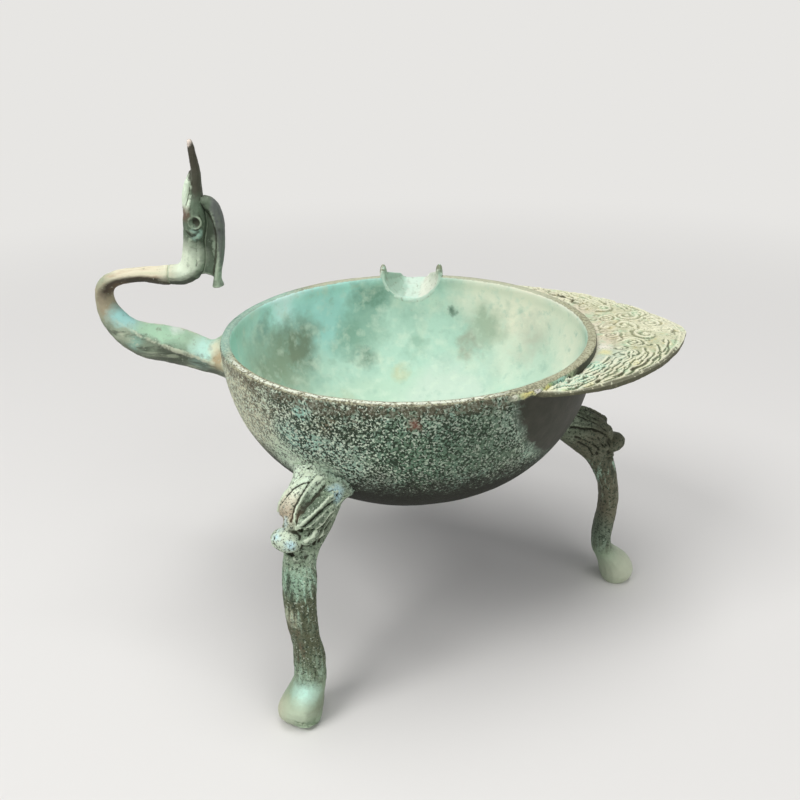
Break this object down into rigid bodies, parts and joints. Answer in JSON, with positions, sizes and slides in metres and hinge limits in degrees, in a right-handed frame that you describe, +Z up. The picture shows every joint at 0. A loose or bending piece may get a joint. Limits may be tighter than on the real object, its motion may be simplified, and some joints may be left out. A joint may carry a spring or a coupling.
{
  "type": "bronze brush washer",
  "caption": "Round-bottomed bronze bowl on beast-headed legs, with a bird-headed S-curved handle, a leaf-shaped tail plate and a pouring spout",
  "frame": {"origin": "middle of the outline at the height of the table that the feet stand on", "axes": "+Z up, +X from the handle to the tail plate along the longest extent, +Y towards the pouring spout"},
  "size_m": [0.1894, 0.1478, 0.1597],
  "materials": {
    "bowl_patina": "cast bronze under a speckled green patina",
    "spout_patina": "cast bronze under a pale green patina",
    "tail_patina": "cast bronze under a yellowish pale green patina",
    "neck_patina": "cast bronze under a worn turquoise and cream patina",
    "head_patina": "cast bronze under a dark green patina",
    "leg_patina": "cast bronze under a mottled green patina"
  },
  "bodies": {
    "root": {"bowl": "bowl_patina", "pouring_spout": "spout_patina", "tail_plate": "tail_patina", "neck": "neck_patina", "bird_head": "head_patina", "crest": "head_patina", "leg_front_left": "leg_patina", "leg_right": "leg_patina", "leg_rear_left": "leg_patina"}
  },
  "joints": []
}
